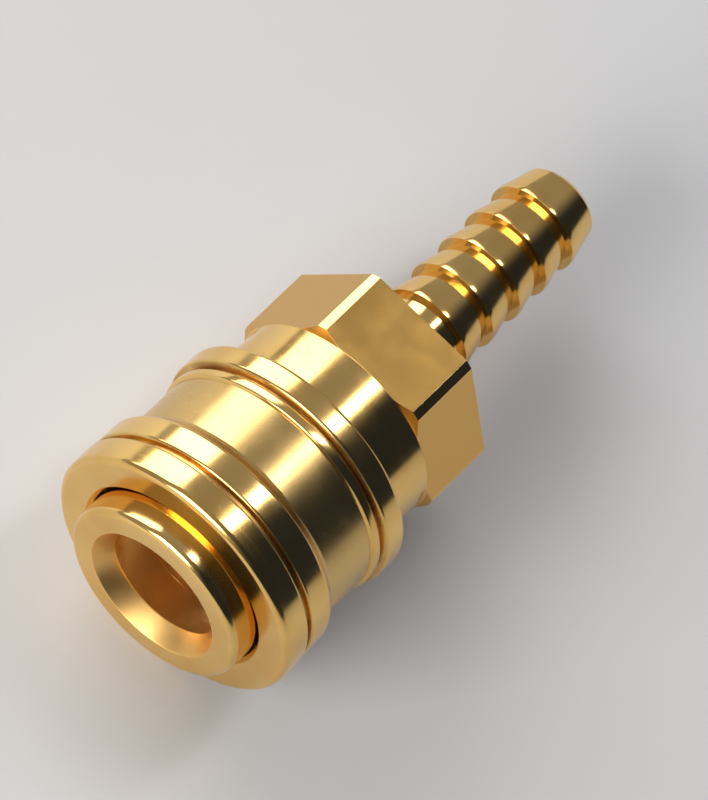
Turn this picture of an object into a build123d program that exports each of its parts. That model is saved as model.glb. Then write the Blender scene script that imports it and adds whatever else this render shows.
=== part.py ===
from build123d import *
import os

# Quick disconnect coupler for compressed air: European profile of nominal bore 7.2, with a
# barbed tail for a 9 mm hose. Millimetres. The origin is the centre of the mouth's front face,
# +X runs along the flow axis towards the hose, and the hexagon has a flat on top (+Z).
# Stations named X_... are distances behind the mouth's face, and R_... are radii.

# Socket body: nose flange, neck and bore
R_NOSE = 9.8
X_NOSE_REAR = 6.0
R_NECK = 8.0
X_NECK_REAR = 25.0
NECK_CHAMFER = 0.4
R_MOUTH = 7.2
X_MOUTH_TAPER = 2.0
R_PLUG = 6.05
X_PLUG_LAND_REAR = 5.8
R_RELIEF = 6.25
X_THROAT = 14.0
R_THROAT = 5.15
THROAT_CHAMFER = 0.5
X_COUNTERBORE = 15.2
R_COUNTERBORE = 6.6

# Locking balls, one eighth of an inch, and their holes in the neck
BALL_COUNT = 8
R_BALL = 3.175 / 2
X_BALL = 8.3
R_BALL_CENTRE = 6.54
R_BALL_HOLE = 1.64
R_BALL_LIP = 1.575
BALL_LIP_TOP = 6.5

# Locking sleeve: two rings, a waist and a rear bead outside, ramp and spring chamber inside
X_SLEEVE_FRONT = 2.8
X_SLEEVE_REAR = 20.6
R_RING = 13.7
R_SECOND_RING = 13.55
R_RING_GROOVE = 13.0
R_WAIST = 12.4
R_THIN_BEAD = 12.75
R_REAR_BEAD = 13.2
X_RING_REAR = 5.9
X_SECOND_RING = 6.7
GROOVE_SLOPE = 0.15
X_SECOND_RING_REAR = 9.2
X_WAIST = 10.4
X_THIN_BEAD = 16.5
X_THIN_BEAD_REAR = 17.3
X_REAR_BEAD = 17.9
X_REAR_BEAD_REAR = 20.2
BEAD_SLOPE = 0.2
R_SLEEVE_MOUTH = 10.0
SLEEVE_MOUTH_CHAMFER = 0.4
X_STOP_SHOULDER = 6.1
R_RAMP_TOP = 8.79
X_RAMP_FOOT = 8.55
R_LAND = 8.15
X_SPRING_CHAMBER = 11.2
R_SPRING_CHAMBER = 11.15

# Hose tail: collar, hexagon and barb
X_TAIL_FRONT = 19.4
R_COLLAR = 11.0
X_HEX_FRONT = 26.2
X_HEX_REAR = 34.5
HEX_ACROSS_FLATS = 21.0
R_HEX_CORE = 9.5
R_HEX_CORNER = 11.85
R_THREAD_BORE = 8.02
X_GASKET_REAR = 26.0
R_CHAMBER = 6.7
X_CHAMBER_REAR = 31.5
R_CONE_TOP = 5.7
X_CONE_REAR = 34.2
R_AIR_BORE = 3.0
R_BARB_NECK = 4.3
X_FIRST_BARB = 39.5
BARB_COUNT = 5
BARB_PITCH = 4.0
BARB_LAND = 0.6
R_BARB_CREST = 4.95
R_BARB_ROOT = 4.15
X_TAIL_REAR = 60.0
TAIL_CHAMFER = 0.5

# Valve: seals, seat, poppet, guide
X_SEAT_FRONT = 18.0
R_PLUG_SEAL_BORE = 4.9
R_PLUG_SEAL_FRONT = 5.2
R_PLUG_SEAL_REAR = 5.5
X_SEAL_LIP = 15.9
X_SEAL_LIP_REAR = 16.8
R_SEAT_BORE = 5.2
SEAT_GAP = 0.05
R_POPPET_TUBE = 4.5
R_POPPET_TUBE_BORE = 3.3
X_POPPET_FRONT = 16.2
X_POPPET_TUBE_END = 20.2
X_POPPET_FLANGE = 20.65
X_POPPET_FLANGE_REAR = 22.0
R_POPPET_FLANGE = 5.9
R_SPRING_PILOT = 3.4
X_SPRING_PILOT_REAR = 23.0
R_STEM = 1.5
X_STEM_REAR = 32.0
X_WINDOW = 18.45
WINDOW_LENGTH = 1.7
WINDOW_WIDTH = 3.0
WINDOW_COUNT = 4
X_GUIDE_FRONT = 30.0
X_GUIDE_HUB_FRONT = 29.4
R_GUIDE = 6.65
R_GUIDE_WINDOW = 5.4
R_GUIDE_HUB = 2.9
R_GUIDE_BORE = 1.6
GUIDE_ARM_COUNT = 3
GUIDE_ARM_WIDTH = 1.8
GUIDE_ARM_OVERLAP = 0.4

# Springs, drawn at rest in the closed coupler
SPRING_END_GAP = 0.02
GROUND_OFF_SHARE = 0.3
SLEEVE_SPRING_WIRE = 0.8
R_SLEEVE_SPRING = 9.7
SLEEVE_SPRING_TURNS = 4.5
VALVE_SPRING_WIRE = 0.7
R_VALVE_SPRING = 4.2
VALVE_SPRING_TURNS = 4.5


def turned(*corners):
    """Turn a closed outline about X. A corner is (x, radius) or (x, radius, rounding)."""
    face = make_face(Polyline(*[corner[:2] for corner in corners], close=True))
    for x, radius, rounding in [corner for corner in corners if len(corner) == 3]:
        nearest = face.vertices().sort_by_distance((x, radius, 0))[0]
        face = fillet(nearest, rounding)
    return revolve(face, Axis.X)


def around(piece, count):
    """Copies of a piece spaced evenly about X."""
    return [Rot(360 * k / count, 0, 0) * piece for k in range(count)]


def socket_body():
    """Nose, neck and stepped bore, with a lipped radial hole for each ball."""
    turning = turned(
        (0, R_MOUTH, 0.15),
        (0, R_NOSE, 0.7),
        (X_NOSE_REAR, R_NOSE, 0.2),
        (X_NOSE_REAR, R_NECK),
        (X_NECK_REAR - NECK_CHAMFER, R_NECK),
        (X_NECK_REAR, R_NECK - NECK_CHAMFER),
        (X_NECK_REAR, R_COUNTERBORE),
        (X_COUNTERBORE, R_COUNTERBORE),
        (X_COUNTERBORE, R_THROAT),
        (X_THROAT + THROAT_CHAMFER, R_THROAT),
        (X_THROAT, R_THROAT + THROAT_CHAMFER),
        (X_THROAT, R_RELIEF),
        (X_PLUG_LAND_REAR + R_RELIEF - R_PLUG, R_RELIEF),
        (X_PLUG_LAND_REAR, R_PLUG),
        (X_MOUTH_TAPER, R_PLUG),
    )
    outward = (Align.CENTER, Align.CENTER, Align.MIN)
    hole = Pos(X_BALL, 0, BALL_LIP_TOP) * Cylinder(R_BALL_HOLE, R_NOSE - BALL_LIP_TOP, align=outward)
    lip_height = BALL_LIP_TOP - R_RELIEF
    lip = Pos(X_BALL, 0, R_RELIEF) * Cone(R_BALL_LIP, R_BALL_HOLE, lip_height, align=outward)
    mouth = Pos(X_BALL, 0, R_THROAT) * Cylinder(R_BALL_LIP, R_RELIEF - R_THROAT, align=outward)
    return turning - around(hole + lip + mouth, BALL_COUNT)


def locking_sleeve():
    """The piece that the hand pulls back: its ramp lets the balls move outwards."""
    return turned(
        (X_SLEEVE_FRONT + SLEEVE_MOUTH_CHAMFER, R_SLEEVE_MOUTH),
        (X_SLEEVE_FRONT, R_SLEEVE_MOUTH + SLEEVE_MOUTH_CHAMFER, 0.15),
        (X_SLEEVE_FRONT, R_RING, 0.7),
        (X_RING_REAR, R_RING, 0.3),
        (X_RING_REAR + GROOVE_SLOPE, R_RING_GROOVE),
        (X_SECOND_RING - GROOVE_SLOPE, R_RING_GROOVE),
        (X_SECOND_RING, R_SECOND_RING, 0.3),
        (X_SECOND_RING_REAR, R_SECOND_RING, 0.5),
        (X_WAIST, R_WAIST, 0.8),
        (X_THIN_BEAD - BEAD_SLOPE, R_WAIST),
        (X_THIN_BEAD, R_THIN_BEAD, 0.2),
        (X_THIN_BEAD_REAR, R_THIN_BEAD, 0.2),
        (X_THIN_BEAD_REAR + BEAD_SLOPE, R_WAIST),
        (X_REAR_BEAD - BEAD_SLOPE, R_WAIST),
        (X_REAR_BEAD, R_REAR_BEAD, 0.35),
        (X_REAR_BEAD_REAR, R_REAR_BEAD, 0.5),
        (X_SLEEVE_REAR, R_WAIST, 0.15),
        (X_SLEEVE_REAR, R_SPRING_CHAMBER),
        (X_SPRING_CHAMBER, R_SPRING_CHAMBER, 0.2),
        (X_SPRING_CHAMBER, R_LAND),
        (X_RAMP_FOOT, R_LAND),
        (X_STOP_SHOULDER, R_RAMP_TOP),
        (X_STOP_SHOULDER, R_SLEEVE_MOUTH),
    )


def hose_tail():
    """Collar that takes the body's thread, hexagon for the wrench, and barb for the hose."""
    barb = []
    for k in range(BARB_COUNT):
        x = X_FIRST_BARB + k * BARB_PITCH
        barb += [(x, R_BARB_CREST), (x + BARB_LAND, R_BARB_CREST)]
        barb += [(x + BARB_PITCH, R_BARB_ROOT)]
    turning = turned(
        (X_TAIL_FRONT, 0),
        (X_TAIL_FRONT, R_COLLAR, 0.3),
        (X_HEX_FRONT, R_COLLAR),
        (X_HEX_FRONT, R_HEX_CORE),
        (X_HEX_REAR, R_HEX_CORE),
        (X_HEX_REAR, R_BARB_NECK, 0.5),
        (X_FIRST_BARB, R_BARB_NECK),
        *barb,
        (X_TAIL_REAR, R_BARB_ROOT - TAIL_CHAMFER),
        (X_TAIL_REAR, 0),
    )
    flats = RegularPolygon(HEX_ACROSS_FLATS / 2, 6, major_radius=False)
    hexagon = Pos(X_HEX_FRONT, 0, 0) * extrude(Plane.YZ * flats, X_HEX_REAR - X_HEX_FRONT)
    # Corners turned down, with a 30 degree chamfer in front that starts at the collar.
    chamfer_length = (R_HEX_CORNER - R_COLLAR) / 3**0.5
    bar = turned(
        (X_HEX_FRONT, 0),
        (X_HEX_FRONT, R_COLLAR),
        (X_HEX_FRONT + chamfer_length, R_HEX_CORNER),
        (X_HEX_REAR, R_HEX_CORNER),
        (X_HEX_REAR, 0),
    )
    hollow = turned(
        (X_TAIL_FRONT, 0),
        (X_TAIL_FRONT, R_THREAD_BORE),
        (X_GASKET_REAR, R_THREAD_BORE),
        (X_GASKET_REAR, R_CHAMBER),
        (X_CHAMBER_REAR, R_CHAMBER),
        (X_CHAMBER_REAR, R_CONE_TOP),
        (X_CONE_REAR, R_AIR_BORE),
        (X_TAIL_REAR, R_AIR_BORE),
        (X_TAIL_REAR, 0),
    )
    return turning + (hexagon & bar) - hollow


def locking_ball():
    """One steel ball at the top, resting against its lip."""
    return Pos(X_BALL, 0, R_BALL_CENTRE) * Sphere(R_BALL)


def plug_seal():
    """Rubber ring with a rounded lip that grips the plug's nose."""
    return turned(
        (X_COUNTERBORE, R_COUNTERBORE),
        (X_COUNTERBORE, R_PLUG_SEAL_FRONT, 0.25),
        (X_SEAL_LIP, R_PLUG_SEAL_BORE, 0.5),
        (X_SEAL_LIP_REAR, R_PLUG_SEAL_BORE, 0.5),
        (X_SEAT_FRONT, R_PLUG_SEAL_REAR),
        (X_SEAT_FRONT, R_COUNTERBORE),
    )


def seat_ring():
    """Pressed ring that holds the plug seal and is the valve's seat."""
    return turned(
        (X_SEAT_FRONT, R_COUNTERBORE),
        (X_SEAT_FRONT, R_SEAT_BORE, 0.2),
        (X_TAIL_FRONT, R_SEAT_BORE, 0.1),
        (X_TAIL_FRONT, R_COUNTERBORE),
    )


def poppet():
    """Valve: windowed tube that the plug pushes, sealing flange, and guide stem."""
    turning = turned(
        (X_POPPET_FRONT, R_POPPET_TUBE_BORE),
        (X_POPPET_FRONT, R_POPPET_TUBE, 0.3),
        (X_POPPET_FLANGE, R_POPPET_TUBE),
        (X_POPPET_FLANGE, R_POPPET_FLANGE, 0.1),
        (X_POPPET_FLANGE_REAR, R_POPPET_FLANGE, 0.3),
        (X_POPPET_FLANGE_REAR, R_SPRING_PILOT),
        (X_SPRING_PILOT_REAR, R_SPRING_PILOT, 0.2),
        (X_SPRING_PILOT_REAR, R_STEM),
        (X_STEM_REAR, R_STEM, 0.4),
        (X_STEM_REAR, 0),
        (X_POPPET_TUBE_END, 0),
        (X_POPPET_TUBE_END, R_POPPET_TUBE_BORE, 0.5),
    )
    window = Pos(X_WINDOW, 0, R_POPPET_TUBE) * Box(WINDOW_LENGTH, WINDOW_WIDTH, R_POPPET_TUBE)
    return turning - around(window, WINDOW_COUNT)


def poppet_seal():
    """Rubber washer in front of the poppet's flange."""
    front = X_TAIL_FRONT + SEAT_GAP
    return turned(
        (front, R_POPPET_TUBE),
        (front, R_POPPET_FLANGE, 0.15),
        (X_POPPET_FLANGE, R_POPPET_FLANGE),
        (X_POPPET_FLANGE, R_POPPET_TUBE),
    )


def valve_guide():
    """Spider that the valve spring rests on and the poppet's stem slides in."""
    front = X_GUIDE_FRONT
    rear = X_CHAMBER_REAR
    rim = turned((front, R_GUIDE_WINDOW), (front, R_GUIDE, 0.15), (rear, R_GUIDE), (rear, R_GUIDE_WINDOW))
    hub = turned(
        (X_GUIDE_HUB_FRONT, R_GUIDE_BORE),
        (X_GUIDE_HUB_FRONT, R_GUIDE_HUB, 0.3),
        (rear, R_GUIDE_HUB),
        (rear, R_GUIDE_BORE),
    )
    reach = R_GUIDE_WINDOW - R_GUIDE_HUB + 2 * GUIDE_ARM_OVERLAP
    middle = Pos((front + rear) / 2, 0, (R_GUIDE_HUB + R_GUIDE_WINDOW) / 2)
    arm = middle * Box(rear - front, GUIDE_ARM_WIDTH, reach)
    return rim + hub + around(arm, GUIDE_ARM_COUNT)


def tail_gasket():
    """Rubber ring squeezed between the body's end and the hose tail."""
    return turned(
        (X_NECK_REAR, R_CHAMBER),
        (X_NECK_REAR, R_NECK),
        (X_GASKET_REAR, R_NECK),
        (X_GASKET_REAR, R_CHAMBER),
    )


def coil_spring(front, rear, radius, wire, turns):
    """Compression spring of round wire with its ends ground flat."""
    ground_off = GROUND_OFF_SHARE * wire
    start = front + wire / 2 - ground_off
    length = rear - front - wire + 2 * ground_off
    path = Helix(length / turns, length, radius, center=(start, 0, 0), direction=(1, 0, 0))
    section = Plane(origin=path @ 0, z_dir=path % 0) * Circle(wire / 2)
    wound = sweep(section, path=path, is_frenet=True)
    between_ends = turned((front, 0), (front, radius + wire), (rear, radius + wire), (rear, 0))
    return wound & between_ends


pieces = {
    "socket_body": socket_body(),
    "locking_sleeve": locking_sleeve(),
    "hose_tail": hose_tail(),
    "plug_seal": plug_seal(),
    "seat_ring": seat_ring(),
    "poppet": poppet(),
    "poppet_seal": poppet_seal(),
    "valve_guide": valve_guide(),
    "tail_gasket": tail_gasket(),
    "sleeve_spring": coil_spring(
        X_SPRING_CHAMBER + SPRING_END_GAP,
        X_TAIL_FRONT - SPRING_END_GAP,
        R_SLEEVE_SPRING,
        SLEEVE_SPRING_WIRE,
        SLEEVE_SPRING_TURNS,
    ),
    "valve_spring": coil_spring(
        X_POPPET_FLANGE_REAR + SPRING_END_GAP,
        X_GUIDE_FRONT - SPRING_END_GAP,
        R_VALVE_SPRING,
        VALVE_SPRING_WIRE,
        VALVE_SPRING_TURNS,
    ),
}
for number, ball in enumerate(around(locking_ball(), BALL_COUNT), start=1):
    pieces[f"ball_{number}"] = ball

os.makedirs("parts", exist_ok=True)
for node, piece in pieces.items():
    export_step(piece, f"parts/{node}.step")
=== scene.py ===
import math

import bmesh
import bpy
from mathutils import Matrix, Vector


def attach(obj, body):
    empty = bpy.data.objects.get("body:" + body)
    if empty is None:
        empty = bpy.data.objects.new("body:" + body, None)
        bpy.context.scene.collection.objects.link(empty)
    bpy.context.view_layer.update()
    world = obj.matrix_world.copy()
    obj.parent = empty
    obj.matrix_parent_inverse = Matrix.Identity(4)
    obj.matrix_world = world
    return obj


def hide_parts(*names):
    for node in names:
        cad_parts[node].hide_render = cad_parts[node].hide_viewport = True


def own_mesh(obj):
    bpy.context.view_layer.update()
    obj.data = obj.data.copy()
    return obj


# The coupler in metres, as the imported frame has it: +X runs along the flow axis from the mouth
# to the hose tail, and +Z is up. Sizes below are in millimetres, like a maker's drawing.
MM = 0.001

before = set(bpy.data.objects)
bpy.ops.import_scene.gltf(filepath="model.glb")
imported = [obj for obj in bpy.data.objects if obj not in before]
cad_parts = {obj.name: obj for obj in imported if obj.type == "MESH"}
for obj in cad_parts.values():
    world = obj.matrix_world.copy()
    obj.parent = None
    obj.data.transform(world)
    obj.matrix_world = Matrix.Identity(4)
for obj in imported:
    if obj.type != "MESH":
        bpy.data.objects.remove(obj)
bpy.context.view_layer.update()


# ---------------------------------------------------------------------------------------------
# Socket body: the nose that takes the plug, and the neck that the sleeve slides on. Turned from
# brass bar and polished, then drilled for the balls. Its neck screws into the hose tail.
X_BALL = 8.3
BALL_COUNT = 8
STEPS_ROUND = 192
SHARP_ABOVE = 28
BODY_OUTLINE = [
    (0, 7.2, 0.15), (0, 9.8, 0.7), (6.0, 9.8, 0.2), (6.0, 8.0), (24.6, 8.0), (25.0, 7.6), (25.0, 6.6),
    (15.2, 6.6), (15.2, 5.15), (14.5, 5.15), (14.0, 5.65), (14.0, 6.25), (6.0, 6.25), (5.8, 6.05),
    (2.0, 6.05, 0.3),
]


def ring_edges(bm, x, radius):
    """The edges of the circle that a corner of a turned outline has become."""
    def on_circle(vert):
        return abs(vert.co.x - x * MM) < 1e-6 and abs(math.hypot(vert.co.y, vert.co.z) - radius * MM) < 1e-6
    return [edge for edge in bm.edges if on_circle(edge.verts[0]) and on_circle(edge.verts[1])]


def turned_mesh(corners, steps=STEPS_ROUND):
    """Spins a closed outline of (x, radius) or (x, radius, rounding) corners about the X axis."""
    bm = bmesh.new()
    points = [bm.verts.new((corner[0] * MM, 0, corner[1] * MM)) for corner in corners]
    sides = [bm.edges.new(pair) for pair in zip(points, points[1:] + points[:1])]
    bmesh.ops.spin(
        bm, geom=points + sides, cent=(0, 0, 0), axis=(1, 0, 0), angle=math.tau, steps=steps, use_merge=True
    )
    bmesh.ops.remove_doubles(bm, verts=bm.verts, dist=1e-7)
    bmesh.ops.recalc_face_normals(bm, faces=bm.faces)
    count = len(corners)
    for index, corner in enumerate(corners):
        if len(corner) == 3:
            here = Vector(corner[:2])
            before = here - Vector(corners[index - 1][:2])
            after = Vector(corners[(index + 1) % count][:2]) - here
            set_back = corner[2] * math.tan(before.angle(after) / 2)
            bmesh.ops.bevel(
                bm, geom=ring_edges(bm, *corner[:2]), offset=set_back * MM, offset_type="OFFSET",
                segments=5, profile=0.5, affect="EDGES", clamp_overlap=True, material=-1,
            )
    return bm


def finished(bm, name, sharp_above=SHARP_ABOVE):
    """Makes the mesh an object, smooth across its bevels and crisp at the corners left sharp."""
    mesh = bpy.data.meshes.new(name)
    bm.to_mesh(mesh)
    bm.free()
    mesh.shade_smooth()
    mesh.set_sharp_from_angle(angle=math.radians(sharp_above))
    piece = bpy.data.objects.new(name, mesh)
    bpy.context.scene.collection.objects.link(piece)
    return piece


def even_normals(piece):
    """Keeps broad faces flat-looking beside their narrow bevels."""
    weighted = piece.modifiers.new("even_normals", "WEIGHTED_NORMAL")
    weighted.keep_sharp = True
    weighted.weight = 60


def cut_from(piece, cutter_mesh):
    """Takes the cutter's shape out of the piece."""
    cutter = finished(cutter_mesh, "cutter")
    boolean = piece.modifiers.new("cut", "BOOLEAN")
    boolean.operation = "DIFFERENCE"
    boolean.solver = "EXACT"
    boolean.object = cutter
    depsgraph = bpy.context.evaluated_depsgraph_get()
    cut = bpy.data.meshes.new_from_object(piece.evaluated_get(depsgraph))
    piece.modifiers.clear()
    piece.data = cut
    cut.name = piece.name
    bpy.data.objects.remove(cutter)
    cut.set_sharp_from_angle(angle=math.radians(SHARP_ABOVE))


def fit_in(piece, body, slot, material, *nodes):
    """Gives the piece its finish and puts it in the frame in place of its CAD nodes."""
    piece.data.materials.clear()
    piece.data.materials.append(material)
    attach(piece, body)
    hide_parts(*nodes)
    return piece


class Value:
    """One output of a material's nodes. Arithmetic on it adds Math nodes."""

    def __init__(self, surface, socket):
        self.surface = surface
        self.socket = socket

    def maths(self, operation, first, second):
        return self.surface.node("ShaderNodeMath", {0: first, 1: second}, operation=operation)

    def __add__(self, other):
        return self.maths("ADD", self, other)

    def __radd__(self, other):
        return self.maths("ADD", other, self)

    def __sub__(self, other):
        return self.maths("SUBTRACT", self, other)

    def __rsub__(self, other):
        return self.maths("SUBTRACT", other, self)

    def __mul__(self, other):
        return self.maths("MULTIPLY", self, other)

    def __rmul__(self, other):
        return self.maths("MULTIPLY", other, self)

    def __pow__(self, other):
        return self.maths("POWER", self, other)


class Surface:
    """The nodes of one material, all placed by the position on the coupler."""

    def __init__(self, name):
        self.material = bpy.data.materials.new(name)
        self.material.use_nodes = True
        self.tree = self.material.node_tree
        self.shader = self.tree.nodes["Principled BSDF"]
        self.place = self.node("ShaderNodeTexCoord", {}, output="Object")
        self.x = self.node("ShaderNodeSeparateXYZ", {0: self.place}, output="X")
        y = self.node("ShaderNodeSeparateXYZ", {0: self.place}, output="Y")
        z = self.node("ShaderNodeSeparateXYZ", {0: self.place}, output="Z")
        self.radius = (y * y + z * z) ** 0.5

    def node(self, kind, inputs, output=0, **settings):
        """Adds a node: first its settings, then the values or links of its sockets."""
        made = self.tree.nodes.new(kind)
        for setting, value in settings.items():
            setattr(made, setting, value)
        for key, value in inputs.items():
            if isinstance(value, Value):
                self.tree.links.new(value.socket, made.inputs[key])
            else:
                made.inputs[key].default_value = value
        return Value(self, made.outputs[output])

    def noise(self, size_mm, detail=3):
        """Noise whose blotches are about size_mm across, from 0 to 1."""
        inputs = {"Vector": self.place, "Scale": 1 / (size_mm * MM), "Detail": detail, "Roughness": 0.55}
        return self.node("ShaderNodeTexNoise", inputs)

    def lines(self, size_mm, along, detail=2):
        """Fine lines that repeat irregularly, about size_mm apart, along a coordinate."""
        inputs = {"W": along, "Scale": 1 / (size_mm * MM), "Detail": detail}
        return self.node("ShaderNodeTexNoise", inputs, noise_dimensions="1D")

    def between(self, value, low, high):
        """0 up to low and 1 from high on, with a smooth rise between them."""
        inputs = {"Value": value, "From Min": low, "From Max": high}
        return self.node("ShaderNodeMapRange", inputs, interpolation_type="SMOOTHSTEP")

    def mix(self, share, first, second):
        """A blend of two colours."""
        return self.node("ShaderNodeMix", {0: share, 6: first, 7: second}, output=2, data_type="RGBA")

    def bump(self, height, depth_mm):
        """Raises the surface by up to depth_mm."""
        return self.node("ShaderNodeBump", {"Height": height, "Distance": depth_mm * MM, "Strength": 1.0})

    def finish(self, **channels):
        """Sets the shader's sockets, by their names with _ for a space."""
        for name, value in channels.items():
            socket = self.shader.inputs[name.replace("_", " ")]
            if isinstance(value, Value):
                self.tree.links.new(value.socket, socket)
            else:
                socket.default_value = value
        return self.material


BRASS_CLEAN = (0.90, 0.60, 0.21, 1)
BRASS_WARM = (0.86, 0.53, 0.16, 1)
BRASS_TARNISH = (0.34, 0.17, 0.05, 1)


def band(s, value, low, high, soft=0.15):
    """1 where a length in metres lies between low and high millimetres, with soft ends."""
    rise = s.between(value, (low - soft) * MM, (low + soft) * MM)
    fall = s.between(value, (high - soft) * MM, (high + soft) * MM)
    return rise - fall


def brass(name, tarnish, marks_mm=0.22, mark_depth=0.0009, polish=0.12, grooves=(), zones=()):
    """Polished brass with lathe marks, smudges, fine scratches and tarnish in its grooves.

    A zone is (mask, tint, roughness above the polish, share of the marks that it keeps).
    """
    s = Surface(name)
    across = s.x + s.radius * 0.83
    cloudy = s.noise(5.5, detail=3)
    smudge = s.between(s.noise(3.8, detail=2), 0.35, 0.75)
    wear = s.noise(6.0, detail=2)
    lathe = s.lines(marks_mm, across) * 0.7 + s.lines(marks_mm * 4.1, across) * 0.3
    hairline = s.between(s.lines(0.16, across, detail=3), 0.66, 0.74) * s.between(wear, 0.46, 0.62)
    dull = s.between(cloudy, 0.35, 0.80) * tarnish
    for low, high in grooves:
        dull = dull + band(s, s.x, low, high, 0.1) * s.between(cloudy, 0.2, 0.7) * 0.8
    colour = s.mix(s.between(wear, 0.3, 0.7), BRASS_CLEAN, BRASS_WARM)
    colour = s.mix(s.node("ShaderNodeClamp", {0: dull}), colour, BRASS_TARNISH)
    rough = polish + smudge * 0.05 + dull * 0.30 + hairline * 0.10
    height = lathe + hairline * -0.5
    for make_mask, tint, extra, kept in zones:
        mask = make_mask(s)
        colour = s.mix(mask, colour, tint)
        rough = rough * (1 - mask) + mask * (polish + extra + smudge * 0.05)
        height = height * (1 - mask * (1 - kept))
    return s.finish(
        Base_Color=colour, Metallic=1.0, Roughness=rough, IOR=1.5, Normal=s.bump(height, mark_depth)
    )


def drills(x, outline, count):
    """Radial drills at x, evenly spaced. Their outline is (height above the axis, radius) corners."""
    bm = bmesh.new()
    points = [bm.verts.new(((x + radius) * MM, 0, height * MM)) for height, radius in outline]
    sides = [bm.edges.new(pair) for pair in zip(points, points[1:] + points[:1])]
    bmesh.ops.spin(
        bm, geom=points + sides, cent=(x * MM, 0, 0), axis=(0, 0, 1), angle=math.tau, steps=64,
        use_merge=True,
    )
    bmesh.ops.remove_doubles(bm, verts=bm.verts, dist=1e-7)
    bmesh.ops.recalc_face_normals(bm, faces=bm.faces)
    first = bm.verts[:] + bm.edges[:] + bm.faces[:]
    for k in range(1, count):
        copy = bmesh.ops.duplicate(bm, geom=first)["geom"]
        copied = [item for item in copy if isinstance(item, bmesh.types.BMVert)]
        turn = Matrix.Rotation(math.tau * k / count, 3, "X")
        bmesh.ops.rotate(bm, verts=copied, cent=(0, 0, 0), matrix=turn)
    return bm


BORE_TINT = (0.90, 0.56, 0.19, 1)
R_INSIDE = 7.3


def inside_bore(s):
    """The bore, which is reamed smooth and keeps its colour."""
    return 1 - s.between(s.radius, (R_INSIDE - 0.15) * MM, (R_INSIDE + 0.15) * MM)


body_brass = brass("body_brass", tarnish=0.08, zones=[(inside_bore, BORE_TINT, 0.24, 0.2)])
socket_body = finished(turned_mesh(BODY_OUTLINE), "body_nose_and_neck")
LIPPED_HOLE = [(5.2, 0), (5.2, 1.575), (6.25, 1.575), (6.5, 1.64), (8.6, 1.64), (8.6, 0)]
cut_from(socket_body, drills(X_BALL, LIPPED_HOLE, BALL_COUNT))
even_normals(socket_body)
fit_in(socket_body, "housing", "brass", body_brass, "socket_body")


# ---------------------------------------------------------------------------------------------
# Plug seal, poppet seal and tail gasket: moulded black nitrile rubber rings. The first grips the
# plug's nose, the second closes the valve, the third seals the joint of body and hose tail.
PLUG_SEAL_OUTLINE = [
    (15.2, 6.6), (15.2, 5.2, 0.25), (15.9, 4.9, 0.5), (16.8, 4.9, 0.5), (18.0, 5.5), (18.0, 6.6),
]
POPPET_SEAL_OUTLINE = [(19.45, 4.5), (19.45, 5.9, 0.15), (20.65, 5.9), (20.65, 4.5)]
GASKET_OUTLINE = [(25.0, 6.7, 0.1), (25.0, 8.0, 0.1), (26.0, 8.0, 0.1), (26.0, 6.7, 0.1)]


def nitrile(name):
    """Dark rubber with a faint mould texture and a little dust and grease."""
    s = Surface(name)
    grain = s.noise(0.12, detail=4)
    grease = s.between(s.noise(1.6, detail=3), 0.45, 0.65)
    colour = s.mix(grease, (0.016, 0.015, 0.014, 1), (0.034, 0.032, 0.030, 1))
    rough = 0.62 - grease * 0.22 + grain * 0.08
    return s.finish(Base_Color=colour, Roughness=rough, Specular_IOR_Level=0.4, Normal=s.bump(grain, 0.006))


rubber = nitrile("nitrile_rubber")
for name, outline, body, node in [
    ("plug_lip_seal", PLUG_SEAL_OUTLINE, "housing", "plug_seal"),
    ("valve_face_seal", POPPET_SEAL_OUTLINE, "valve", "poppet_seal"),
    ("thread_gasket", GASKET_OUTLINE, "housing", "tail_gasket"),
]:
    ring = finished(turned_mesh(outline, 128), name)
    even_normals(ring)
    fit_in(ring, body, "rubber", rubber, node)


# ---------------------------------------------------------------------------------------------
# Seat ring: a brass ring pressed into the body behind the plug seal. It holds the seal and its
# rear face is the valve's seat.
SEAT_OUTLINE = [(18.0, 6.6), (18.0, 5.2, 0.2), (19.4, 5.2, 0.1), (19.4, 6.6, 0.08)]
inner_brass = brass("inner_brass", tarnish=0.05, marks_mm=0.12, mark_depth=0.0006, polish=0.2)
seat_ring = finished(turned_mesh(SEAT_OUTLINE, 128), "valve_seat_ring")
even_normals(seat_ring)
fit_in(seat_ring, "housing", "brass", inner_brass, "seat_ring")


# ---------------------------------------------------------------------------------------------
# Poppet: the valve that the plug pushes open. Turned brass: a tube with four milled windows, a
# flange for its seal, a pilot for the spring and a stem that slides in the guide.
POPPET_OUTLINE = [
    (16.2, 3.3, 0.12), (16.2, 4.5, 0.3), (20.65, 4.5), (20.65, 5.9, 0.1), (22.0, 5.9, 0.3), (22.0, 3.4),
    (23.0, 3.4, 0.2), (23.0, 1.5), (32.0, 1.5, 0.4), (32.0, 0), (20.2, 0), (20.2, 3.3, 0.5),
]
WINDOW_LOW, WINDOW_HIGH = 17.6, 19.3
WINDOW_WIDTH = 3.0
WINDOW_COUNT = 4
poppet = finished(turned_mesh(POPPET_OUTLINE, 128), "valve_poppet")
windows = bmesh.new()
for k in range(WINDOW_COUNT):
    middle = Matrix.Translation(((WINDOW_LOW + WINDOW_HIGH) / 2 * MM, 0, 4.5 * MM))
    size = Matrix.Diagonal(((WINDOW_HIGH - WINDOW_LOW) * MM, WINDOW_WIDTH * MM, 4.5 * MM, 1))
    turn = Matrix.Rotation(math.tau * k / WINDOW_COUNT, 4, "X")
    bmesh.ops.create_cube(windows, size=1, matrix=turn @ middle @ size)
cut_from(poppet, windows)
even_normals(poppet)
fit_in(poppet, "valve", "brass", inner_brass, "poppet")


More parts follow.
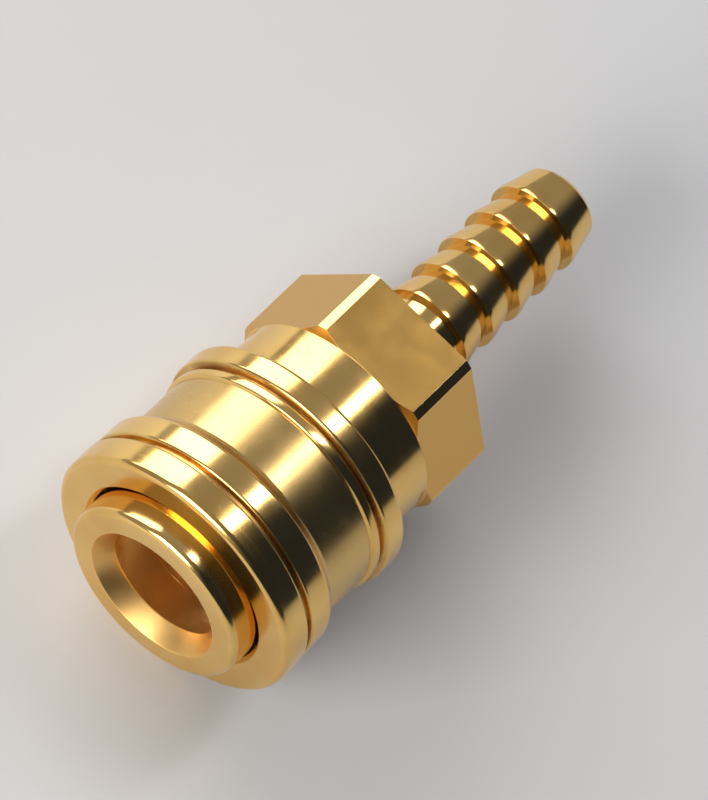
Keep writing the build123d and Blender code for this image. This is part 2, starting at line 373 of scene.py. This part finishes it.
# ---------------------------------------------------------------------------------------------
# Valve guide: a brass spider against the step in the hose tail. The valve spring stands on its
# three arms, and the poppet's stem slides in its hub.
HUB_OUTLINE = [(29.4, 1.6, 0.1), (29.4, 2.9, 0.3), (31.5, 2.9), (31.5, 1.6, 0.1)]
RIM_OUTLINE = [(30.0, 5.4, 0.1), (30.0, 6.65, 0.15), (31.5, 6.65, 0.1), (31.5, 5.4, 0.1)]
ARM_COUNT = 3
ARM_WIDTH, ARM_THICKNESS = 1.8, 1.5
ARM_INNER, ARM_OUTER = 2.8, 5.5
X_ARM_MIDDLE = 30.75
guide = turned_mesh(RIM_OUTLINE, 96)
hub = bpy.data.meshes.new("hub")
turned_mesh(HUB_OUTLINE, 96).to_mesh(hub)
guide.from_mesh(hub)
for k in range(ARM_COUNT):
    middle = Matrix.Translation((X_ARM_MIDDLE * MM, 0, (ARM_INNER + ARM_OUTER) / 2 * MM))
    size = Matrix.Diagonal((ARM_THICKNESS * MM, ARM_WIDTH * MM, (ARM_OUTER - ARM_INNER) * MM, 1))
    turn = Matrix.Rotation(math.tau * k / ARM_COUNT, 4, "X")
    bmesh.ops.create_cube(guide, size=1, matrix=turn @ middle @ size)
valve_guide = finished(guide, "valve_guide_spider")
even_normals(valve_guide)
fit_in(valve_guide, "housing", "brass", inner_brass, "valve_guide")


# ---------------------------------------------------------------------------------------------
# Springs: round steel wire coiled cold, with closed ends ground flat. The sleeve spring pushes
# the locking sleeve forwards, the valve spring closes the poppet.
def spring_steel(name):
    """Oiled spring wire: grey, with drawing marks and a brown cast."""
    s = Surface(name)
    oil = s.between(s.noise(1.4, detail=3), 0.4, 0.7)
    colour = s.mix(oil, (0.42, 0.42, 0.44, 1), (0.24, 0.21, 0.18, 1))
    rough = 0.22 + oil * 0.18
    return s.finish(Base_Color=colour, Metallic=1.0, Roughness=rough, Normal=s.bump(s.noise(0.1), 0.0015))


def wound(name, front, rear, radius, wire, active, dead, ground_off=0.3):
    """Spins a circle of wire round X with closed coils at both ends, then grinds the ends flat."""
    bm = bmesh.new()
    start = front + wire * (0.5 - ground_off)
    place = Matrix.Translation((start * MM, 0, radius * MM)) @ Matrix.Rotation(math.pi / 2, 4, "X")
    bmesh.ops.create_circle(bm, cap_ends=False, segments=20, radius=wire / 2 * MM, matrix=place)
    last = bm.verts[:] + bm.edges[:]
    length = rear - front - wire * (1 - 2 * ground_off)
    closed_rise = wire * 1.02 * dead
    for turns, rise in [(dead, closed_rise), (active, length - 2 * closed_rise), (dead, closed_rise)]:
        steps = round(64 * turns)
        last = bmesh.ops.spin(
            bm, geom=last, cent=(0, 0, 0), axis=(1, 0, 0), dvec=(rise / steps * MM, 0, 0),
            angle=math.tau * turns, steps=steps, use_duplicate=False,
        )["geom_last"]
    for x, outward in [(front, -1), (rear, 1)]:
        bmesh.ops.bisect_plane(
            bm, geom=bm.verts[:] + bm.edges[:] + bm.faces[:], dist=1e-8, plane_co=(x * MM, 0, 0),
            plane_no=(outward, 0, 0), clear_outer=True,
        )
    bmesh.ops.holes_fill(bm, edges=[edge for edge in bm.edges if edge.is_boundary], sides=0)
    bmesh.ops.recalc_face_normals(bm, faces=bm.faces)
    return finished(bm, name, sharp_above=40)


wire_steel = spring_steel("spring_wire")
sleeve_spring = wound("sleeve_return_spring", 11.22, 19.38, 9.7, 0.8, active=3.0, dead=0.75)
valve_spring = wound("valve_closing_spring", 22.02, 29.98, 4.2, 0.7, active=3.5, dead=0.75)
fit_in(sleeve_spring, "spring_carrier", "spring_steel", wire_steel, "sleeve_spring")
fit_in(valve_spring, "housing", "spring_steel", wire_steel, "valve_spring")
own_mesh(sleeve_spring)
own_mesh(valve_spring)


# ---------------------------------------------------------------------------------------------
# Locking balls: eight hardened, polished steel balls. The sleeve holds them in their holes, and
# they hold the plug by the groove behind its nose.
def ball_steel(name):
    """Bearing steel with a few fine tracks."""
    s = Surface(name)
    tracks = s.between(s.noise(0.7, detail=4), 0.55, 0.75)
    return s.finish(Base_Color=(0.62, 0.62, 0.64, 1), Metallic=1.0, Roughness=0.06 + tracks * 0.12)


polished_steel = ball_steel("ball_steel")
R_BALL = 3.175 / 2
R_BALL_CENTRE = 6.54
for k in range(BALL_COUNT):
    bm = bmesh.new()
    centre = Matrix.Rotation(math.tau * k / BALL_COUNT, 4, "X") @ Vector((X_BALL, 0, R_BALL_CENTRE))
    bmesh.ops.create_icosphere(
        bm, subdivisions=5, radius=R_BALL * MM, matrix=Matrix.Translation(centre * MM)
    )
    ball = finished(bm, f"locking_ball_{k + 1}", sharp_above=60)
    fit_in(ball, f"ball_{k + 1}_body", "ball_steel", polished_steel, f"ball_{k + 1}")


# ---------------------------------------------------------------------------------------------
# Hose tail: collar, wrench hexagon and barb in one piece. Turned from drawn hexagonal brass bar,
# so the six flats keep the bar's skin while the collar, chamfer and barb are turned.
ACROSS_FLATS = 21.0
HEX_FRONT, HEX_REAR = 26.2, 34.5
TAIL_OUTLINE = [
    (19.4, 8.02), (19.4, 11.0, 0.3), (26.2, 11.0), (26.69, 11.85), (34.5, 11.85), (34.5, 4.3, 0.5),
    (39.5, 4.3), (39.5, 4.95), (40.1, 4.95), (43.5, 4.15), (43.5, 4.95), (44.1, 4.95), (47.5, 4.15),
    (47.5, 4.95), (48.1, 4.95), (51.5, 4.15), (51.5, 4.95), (52.1, 4.95), (55.5, 4.15), (55.5, 4.95),
    (56.1, 4.95), (59.5, 4.15), (60.0, 3.65), (60.0, 3.0), (34.2, 3.0), (31.5, 5.7), (31.5, 6.7),
    (26.0, 6.7), (26.0, 8.02),
]
hose_tail = finished(turned_mesh(TAIL_OUTLINE), "tail_hexagon_and_barb")
outside_flats = bmesh.new()
for k in range(6):
    length = HEX_REAR - HEX_FRONT + 1
    middle = Matrix.Translation(((HEX_FRONT + 0.01 + length / 2) * MM, 0, (ACROSS_FLATS / 2 + 1) * MM))
    size = Matrix.Diagonal((length * MM, 12 * MM, 2 * MM, 1))
    turn = Matrix.Rotation(math.tau * k / 6, 4, "X")
    bmesh.ops.create_cube(outside_flats, size=1, matrix=turn @ middle @ size)
cut_from(hose_tail, outside_flats)
edge_break = hose_tail.modifiers.new("edge_break", "BEVEL")
edge_break.width = 0.20 * MM
edge_break.segments = 3
edge_break.limit_method = "ANGLE"
edge_break.angle_limit = math.radians(24)
even_normals(hose_tail)
# A darker, more orange tint for the six flats than for the turned brass.
FLATS_TINT = (0.70, 0.41, 0.11, 1)
R_RIDGE = 11.78


def hex_flats(s):
    """The flats, which keep the drawn bar's satin skin up to the turned corners and are tinted darker and
    more orange.
    """
    turned = s.between(s.radius, R_RIDGE * MM, (R_RIDGE + 0.05) * MM)
    return band(s, s.x, HEX_FRONT + 0.1, HEX_REAR, 0.05) * (1 - turned)


tail_brass = brass("tail_brass", tarnish=0.10, marks_mm=0.3, zones=[(hex_flats, FLATS_TINT, 0.06, 0.0)])
fit_in(hose_tail, "housing", "brass", tail_brass, "hose_tail")


# ---------------------------------------------------------------------------------------------
# Locking sleeve: the part that the fingers pull back. Turned brass, polished, with two rings at
# the front, a plain waist and a bead at the rear.
SLEEVE_OUTLINE = [
    (3.2, 10.0), (2.8, 10.4, 0.15), (2.8, 13.7, 0.7), (5.9, 13.7, 0.3), (6.05, 13.0), (6.55, 13.0),
    (6.7, 13.55, 0.3), (9.2, 13.55, 0.5), (10.4, 12.4, 0.8), (16.3, 12.4), (16.5, 12.75, 0.2),
    (17.3, 12.75, 0.2), (17.5, 12.4), (17.7, 12.4), (17.9, 13.2, 0.35), (20.2, 13.2, 0.5),
    (20.6, 12.4, 0.15), (20.6, 11.15, 0.1), (11.2, 11.15, 0.2), (11.2, 8.15), (8.55, 8.15), (6.1, 8.79),
    (6.1, 10.0),
]
locking_sleeve = finished(turned_mesh(SLEEVE_OUTLINE, 256), "pull_back_sleeve")
even_normals(locking_sleeve)
WAIST_TINT = (0.70, 0.47, 0.17, 1)


def satin_waist(s):
    """The waist between the second ring and the thin bead, left satin for the fingers."""
    return band(s, s.x, 10.3, 16.3, 0.1)


sleeve_brass = brass(
    "sleeve_brass", tarnish=0.08, grooves=[(5.9, 6.7), (17.3, 17.9)],
    zones=[(satin_waist, WAIST_TINT, 0.12, 1.6)],
)
fit_in(locking_sleeve, "sleeve", "brass", sleeve_brass, "locking_sleeve")


# ---------------------------------------------------------------------------------------------
# Studio: a pale floor that the sleeve's front ring and rear bead rest on, air that is pale on the
# left and dark on the right, soft boxes on the left, above and at the mouth, and the camera.
FLOOR_FRONT = Vector((5.66, 0, -13.7))
FLOOR_REAR = Vector((19.92, 0, -13.2))
FLOOR_SIZE = 1.6
bm = bmesh.new()
slope = math.atan2(FLOOR_REAR.z - FLOOR_FRONT.z, FLOOR_REAR.x - FLOOR_FRONT.x)
lay = Matrix.Translation(FLOOR_FRONT * MM) @ Matrix.Rotation(-slope, 4, "Y")
bmesh.ops.create_grid(bm, x_segments=8, y_segments=8, size=FLOOR_SIZE / 2, matrix=lay)
floor = finished(bm, "studio_floor")
paper = Surface("studio_paper")
floor.data.materials.append(
    paper.finish(Base_Color=(0.66, 0.66, 0.65, 1), Roughness=0.55, Specular_IOR_Level=0.25)
)

DARK_UP_TO, PALE_FROM = -0.45, 0.05
DARK_AIR = (0.020, 0.026, 0.045, 1)
PALE_AIR = (0.31, 0.31, 0.32, 1)
world = bpy.data.worlds.new("studio_air")
world.use_nodes = True
air = world.node_tree
direction = air.nodes.new("ShaderNodeTexCoord")
split = air.nodes.new("ShaderNodeSeparateXYZ")
sideways = air.nodes.new("ShaderNodeMapRange")
sideways.interpolation_type = "SMOOTHSTEP"
sideways.inputs["From Min"].default_value = DARK_UP_TO
sideways.inputs["From Max"].default_value = PALE_FROM
shade = air.nodes.new("ShaderNodeMix")
shade.data_type = "RGBA"
shade.inputs[6].default_value = DARK_AIR
shade.inputs[7].default_value = PALE_AIR
air.links.new(direction.outputs["Generated"], split.inputs[0])
air.links.new(split.outputs["Y"], sideways.inputs["Value"])
air.links.new(sideways.outputs[0], shade.inputs[0])
air.links.new(shade.outputs[2], air.nodes["Background"].inputs["Color"])
bpy.context.scene.world = world

MIDDLE = Vector((0.029, 0, 0))
BOX_DISTANCE = 0.7
COOL_WHITE = (0.98, 0.97, 1.0)
WARM_WHITE = (1.0, 0.97, 0.93)


def soft_box(name, direction, width, height, power, colour):
    """A rectangular lamp that faces the coupler's middle."""
    lamp = bpy.data.lights.new(name, "AREA")
    lamp.shape = "RECTANGLE"
    lamp.size, lamp.size_y = width, height
    lamp.energy = power
    lamp.color = colour
    holder = bpy.data.objects.new(name, lamp)
    towards = Vector(direction).normalized()
    holder.location = MIDDLE + towards * BOX_DISTANCE
    holder.rotation_mode = "QUATERNION"
    holder.rotation_quaternion = towards.to_track_quat("Z", "Y")
    bpy.context.scene.collection.objects.link(holder)


soft_box("left_box", (0.30, 0.83, 0.48), 0.55, 0.46, 3.1, COOL_WHITE)
soft_box("strip_box", (0.47, -0.130, 0.873), 0.11, 0.3, 0.9, COOL_WHITE)
soft_box("mouth_box", (-0.86, 0.22, 0.45), 0.42, 0.40, 4.2, WARM_WHITE)

VIEW_ELEVATION = math.radians(62)
SWING = Matrix.Rotation(math.radians(5), 3, "X")
ROLL = math.radians(46)
CAMERA_DISTANCE = 0.62
back = SWING @ Vector((-math.cos(VIEW_ELEVATION), 0, math.sin(VIEW_ELEVATION)))
right = SWING @ Vector((0, -1, 0))
up = back.cross(right)
camera_right = right * math.cos(ROLL) + up * math.sin(ROLL)
camera_up = back.cross(camera_right)
camera = bpy.data.objects.new("camera", bpy.data.cameras.new("camera"))
camera.data.lens = 300
camera.data.clip_start, camera.data.clip_end = 0.01, 10
turn = Matrix((camera_right, camera_up, back)).transposed().to_4x4()
camera.matrix_world = Matrix.Translation(MIDDLE + back * CAMERA_DISTANCE) @ turn
bpy.context.scene.collection.objects.link(camera)
bpy.context.scene.camera = camera
bpy.context.scene.view_settings.view_transform = "Standard"

bpy.context.view_layer.update()
